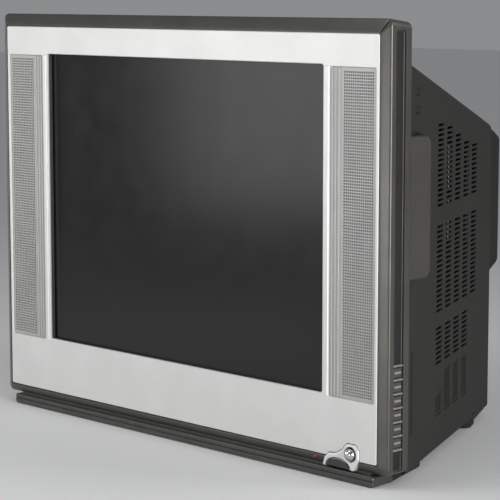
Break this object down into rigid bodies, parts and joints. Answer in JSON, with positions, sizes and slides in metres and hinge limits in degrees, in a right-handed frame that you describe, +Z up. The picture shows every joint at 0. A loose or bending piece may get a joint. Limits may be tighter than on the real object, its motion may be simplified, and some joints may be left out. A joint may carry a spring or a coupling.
{
  "type": "television set",
  "caption": "Flat-screen picture-tube television with a silver fascia, side speaker grilles, dark cabinet and a tapered vented rear cover.",
  "frame": {"origin": "centre of the bounding box on the floor, under the feet", "axes": "+X to the viewer's right along the screen's width, +Y from the screen towards the back, +Z up"},
  "size_m": [0.7572, 0.5084, 0.5706],
  "materials": {
    "alloy": "extruded aluminium",
    "black_plastic": "black plastic",
    "board": "circuit board with solder mask",
    "cabinet": "dark grey-brown moulded plastic, satin, with a brushed metallic tint on the bevels",
    "can": "tinned steel",
    "chrome": "polished chrome plating",
    "coil_tape": "dark winding tape",
    "cone_paper": "black pressed paper cone",
    "cover": "dark grey moulded plastic, fine spark texture",
    "ferrite": "grey ferrite",
    "funnel": "glass with grey graphite coating, matt",
    "gland_plastic": "black nylon bush",
    "grille": "grey perforated sheet, painted",
    "indicator": "clear red lens",
    "ir_window": "dark tinted window, polished",
    "ivory_plastic": "ivory moulded plastic",
    "key": "grey satin plastic",
    "lead_sleeve": "red high-voltage sleeve",
    "neck_glass": "clear glass",
    "rubber": "black rubber",
    "screen_glass": "dark tinted tube glass, antireflection coated, polished",
    "screw": "blackened steel",
    "silver": "silver lacquer, fine metallic flake, satin",
    "steel": "zinc-plated steel",
    "transformer": "yellow-brown bobbin tape and ferrite",
    "winding": "enamelled copper winding"
  },
  "bodies": {
    "television": {"front_cabinet": "cabinet", "silver_fascia": "silver", "left_speaker_grille": "grille", "right_speaker_grille": "grille", "button_bezel": "silver", "ir_window": "ir_window", "standby_led": "indicator", "power_switch": "black_plastic", "side_key_board": "board", "crt_panel": "screen_glass", "crt_funnel": "funnel", "crt_neck": "neck_glass", "tension_band": "steel", "tube_screw_upper_left": "screw", "tube_screw_lower_left": "screw", "tube_screw_upper_right": "screw", "tube_screw_lower_right": "screw", "degaussing_coil": "coil_tape", "yoke_liner": "ivory_plastic", "yoke_coil": "winding", "yoke_core": "ferrite", "convergence_rings": "black_plastic", "tube_socket": "ivory_plastic", "neck_board": "board", "anode_cap": "rubber", "anode_lead": "lead_sleeve", "chassis_frame": "black_plastic", "main_board": "board", "flyback_transformer": "black_plastic", "power_transformer": "transformer", "filter_capacitor": "black_plastic", "supply_heat_sink": "alloy", "output_heat_sink": "alloy", "tuner": "can", "av_jack_panel": "black_plastic", "mains_cord_gland": "gland_plastic", "left_speaker_frame": "steel", "left_speaker_cone": "cone_paper", "right_speaker_frame": "steel", "right_speaker_cone": "cone_paper", "rear_cover": "cover", "cover_screw_side_upper_left": "screw", "cover_screw_side_lower_left": "screw", "cover_screw_top_left": "screw", "cover_screw_side_upper_right": "screw", "cover_screw_side_lower_right": "screw", "cover_screw_top_right": "screw", "front_left_foot": "rubber", "rear_left_foot": "rubber", "front_right_foot": "rubber", "rear_right_foot": "rubber"},
    "power_button": {"power_button": "chrome"},
    "source_key": {"source_key": "key"},
    "menu_key": {"menu_key": "key"},
    "volume_down_key": {"volume_down_key": "key"},
    "volume_up_key": {"volume_up_key": "key"},
    "channel_down_key": {"channel_down_key": "key"},
    "channel_up_key": {"channel_up_key": "key"},
    "focus_knob": {"focus_knob": "ivory_plastic"},
    "screen_knob": {"screen_knob": "ivory_plastic"}
  },
  "joints": [
    {"name": "power_button_press", "type": "slide", "parent": "television", "child": "power_button", "axis": [0, 1, 0], "range_m": [0, 0.0025], "stiffness_N_per_m": 900},
    {"name": "source_key_press", "type": "slide", "parent": "television", "child": "source_key", "axis": [-1, 0, 0], "range_m": [0, 0.0012], "stiffness_N_per_m": 700},
    {"name": "menu_key_press", "type": "slide", "parent": "television", "child": "menu_key", "axis": [-1, 0, 0], "range_m": [0, 0.0012], "stiffness_N_per_m": 700},
    {"name": "volume_down_key_press", "type": "slide", "parent": "television", "child": "volume_down_key", "axis": [-1, 0, 0], "range_m": [0, 0.0012], "stiffness_N_per_m": 700},
    {"name": "volume_up_key_press", "type": "slide", "parent": "television", "child": "volume_up_key", "axis": [-1, 0, 0], "range_m": [0, 0.0012], "stiffness_N_per_m": 700},
    {"name": "channel_down_key_press", "type": "slide", "parent": "television", "child": "channel_down_key", "axis": [-1, 0, 0], "range_m": [0, 0.0012], "stiffness_N_per_m": 700},
    {"name": "channel_up_key_press", "type": "slide", "parent": "television", "child": "channel_up_key", "axis": [-1, 0, 0], "range_m": [0, 0.0012], "stiffness_N_per_m": 700},
    {"name": "focus_knob_turn", "type": "hinge", "parent": "television", "child": "focus_knob", "pos_m": [0.096, 0.08825, 0.054], "axis": [0, 1, 0], "range_deg": [-120, 120]},
    {"name": "screen_knob_turn", "type": "hinge", "parent": "television", "child": "screen_knob", "pos_m": [0.114, 0.08825, 0.054], "axis": [0, 1, 0], "range_deg": [-120, 120]}
  ]
}
